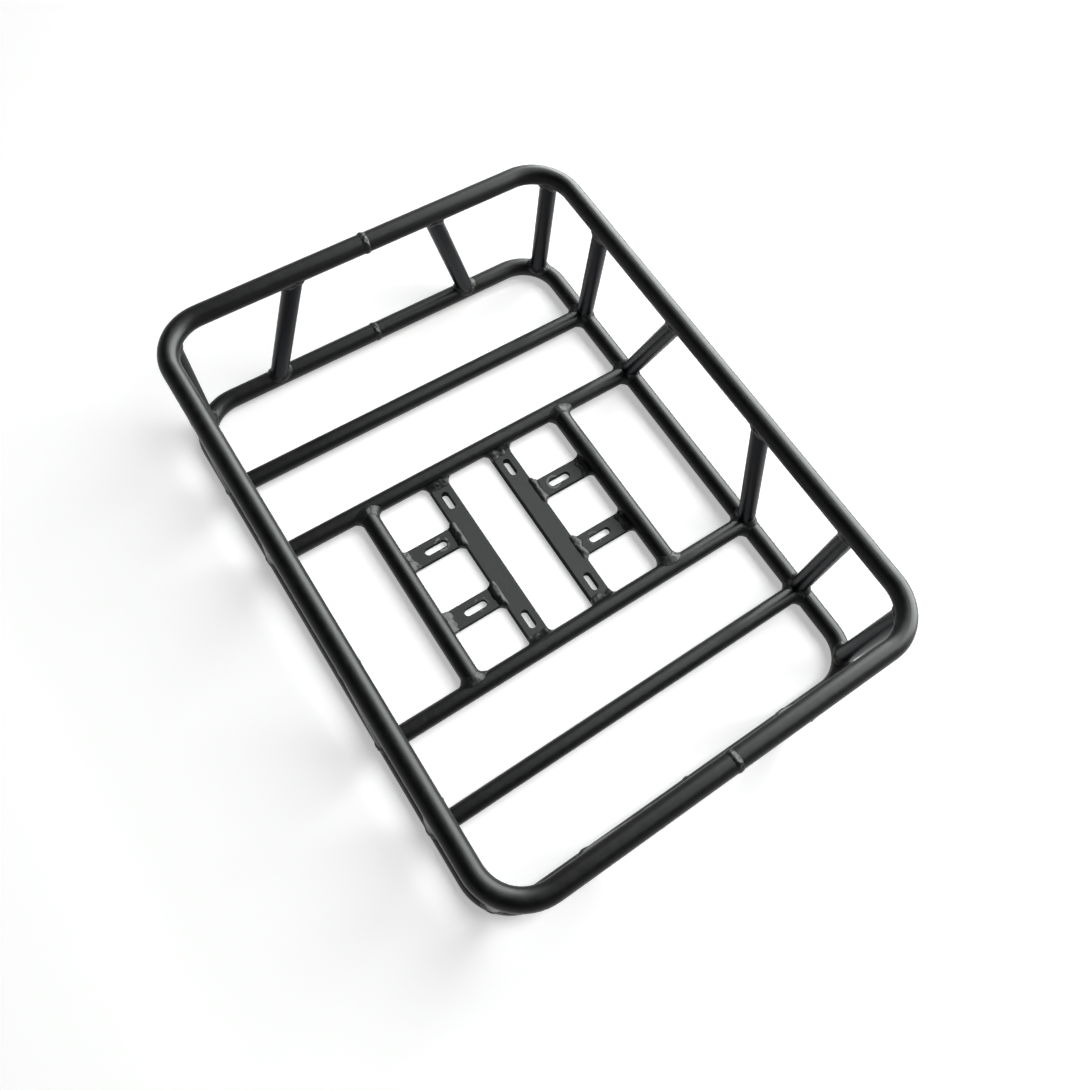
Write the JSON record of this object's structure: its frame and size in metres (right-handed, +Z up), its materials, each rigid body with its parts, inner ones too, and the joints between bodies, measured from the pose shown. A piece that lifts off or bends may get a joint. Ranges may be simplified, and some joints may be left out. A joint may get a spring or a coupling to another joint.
{
  "type": "luggage rack",
  "caption": "Rigid open luggage rack of welded black steel tube: a rim and a base hoop joined by posts, floor crossbars, and slotted plates that bolt it down.",
  "frame": {"origin": "centre of the rack, on the plane of the mount bars' undersides", "axes": "+X along the rack's length, +Y across it towards the rear long side, +Z up towards the rim"},
  "size_m": [0.604, 0.449, 0.1637],
  "materials": {
    "tube_paint": "satin",
    "plate_paint": "satin",
    "weld_paint": "semi-gloss"
  },
  "bodies": {
    "root": {"base_front_half": "tube_paint", "base_rear_half": "tube_paint", "base_seam_welds": "weld_paint", "corner_post_front_left": "tube_paint", "corner_post_front_right": "tube_paint", "corner_post_rear_left": "tube_paint", "corner_post_rear_right": "tube_paint", "crossbar_left_inner": "tube_paint", "crossbar_left_outer": "tube_paint", "crossbar_right_inner": "tube_paint", "crossbar_right_outer": "tube_paint", "crossbar_welds": "weld_paint", "end_post_left_front": "tube_paint", "end_post_left_rear": "tube_paint", "end_post_right_front": "tube_paint", "end_post_right_rear": "tube_paint", "long_tube_front": "tube_paint", "long_tube_rear": "tube_paint", "long_tube_welds": "weld_paint", "mount_bar_front": "plate_paint", "mount_bar_rear": "plate_paint", "mount_bar_welds": "weld_paint", "post_foot_welds": "weld_paint", "post_head_welds": "weld_paint", "rim_front_half": "tube_paint", "rim_rear_half": "tube_paint", "rim_seam_welds": "weld_paint", "side_post_front_left_inner": "tube_paint", "side_post_front_left_outer": "tube_paint", "side_post_front_right_inner": "tube_paint", "side_post_front_right_outer": "tube_paint", "side_post_rear_left_inner": "tube_paint", "side_post_rear_left_outer": "tube_paint", "side_post_rear_right_inner": "tube_paint", "side_post_rear_right_outer": "tube_paint", "strap_front_left": "plate_paint", "strap_front_right": "plate_paint", "strap_rear_left": "plate_paint", "strap_rear_right": "plate_paint", "strap_welds": "weld_paint"}
  },
  "joints": []
}
